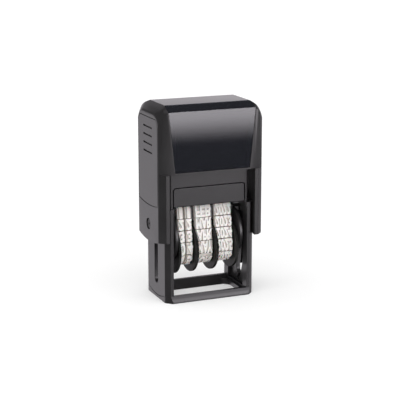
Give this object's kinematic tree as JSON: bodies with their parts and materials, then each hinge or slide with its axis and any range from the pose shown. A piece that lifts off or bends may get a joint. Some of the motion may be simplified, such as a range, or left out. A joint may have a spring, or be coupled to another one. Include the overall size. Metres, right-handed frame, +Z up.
{
  "type": "date stamp",
  "caption": "Small self-inking date stamp: a sprung cap on two legs turns a carrier of rubber date bands over, from an ink cassette down through the base onto paper.",
  "frame": {"origin": "middle of the base rim's underside, on the desk", "axes": "+X along the date line, -Y towards the front with the window, +Z up"},
  "size_m": [0.037, 0.0224, 0.066],
  "materials": {
    "cap_plastic": "satin moulded ABS, near black",
    "frame_plastic": "satin moulded ABS, near black",
    "carrier_plastic": "moulded acetal, black",
    "wheel_plastic": "moulded acetal, black, notched rim",
    "window_clear": "polished clear polystyrene",
    "card": "coated card, black, bare",
    "band_rubber": "moulded cream rubber",
    "ink_felt": "inked felt",
    "spring_steel": "drawn spring wire",
    "axle_steel": "drawn steel rod"
  },
  "bodies": {
    "frame": {"frame_housing": "frame_plastic", "base_frame": "frame_plastic", "return_spring": "spring_steel"},
    "cap": {"cap_shell": "cap_plastic", "window_cover": "window_clear", "index_card": "card", "pivot_pin_left": "cap_plastic", "pivot_pin_right": "cap_plastic"},
    "cassette": {"pad_tray": "frame_plastic", "ink_pad": "ink_felt"},
    "carrier": {"carrier_cheek_left": "carrier_plastic", "carrier_cheek_right": "carrier_plastic", "platen": "carrier_plastic", "wheel_axle": "axle_steel", "axle_clip": "axle_steel", "band_day_tens": "band_rubber", "band_day_units": "band_rubber", "band_month": "band_rubber", "band_year": "band_rubber"},
    "tens_wheel": {"wheel_day_tens": "wheel_plastic"},
    "units_wheel": {"wheel_day_units": "wheel_plastic"},
    "month_wheel": {"wheel_month": "wheel_plastic"},
    "year_wheel": {"wheel_year": "wheel_plastic"}
  },
  "joints": [
    {"name": "cap_press", "type": "slide", "parent": "frame", "child": "cap", "axis": [0, 0, -1], "range_m": [0, 0.01915], "stiffness_N_per_m": 500, "springref_m": -0.01, "deforming": ["return_spring"]},
    {"name": "carrier_flip", "type": "hinge", "parent": "cap", "child": "carrier", "pos_m": [0, 0, 0.0257], "axis": [1, 0, 0], "range_deg": [0, 180]},
    {"name": "pad_slide", "type": "slide", "parent": "frame", "child": "cassette", "axis": [0, 1, 0], "range_m": [0, 0.0225]},
    {"name": "tens_wheel_turn", "type": "hinge", "parent": "carrier", "child": "tens_wheel", "pos_m": [0, 0, 0.0163], "axis": [1, 0, 0], "continuous": true},
    {"name": "units_wheel_turn", "type": "hinge", "parent": "carrier", "child": "units_wheel", "pos_m": [0, 0, 0.0163], "axis": [1, 0, 0], "continuous": true},
    {"name": "month_wheel_turn", "type": "hinge", "parent": "carrier", "child": "month_wheel", "pos_m": [0, 0, 0.0163], "axis": [1, 0, 0], "continuous": true},
    {"name": "year_wheel_turn", "type": "hinge", "parent": "carrier", "child": "year_wheel", "pos_m": [0, 0, 0.0163], "axis": [1, 0, 0], "continuous": true}
  ],
  "couplings": [
    {"joint": "carrier_flip", "follows": "cap_press", "rad_per_m": 164.05}
  ]
}
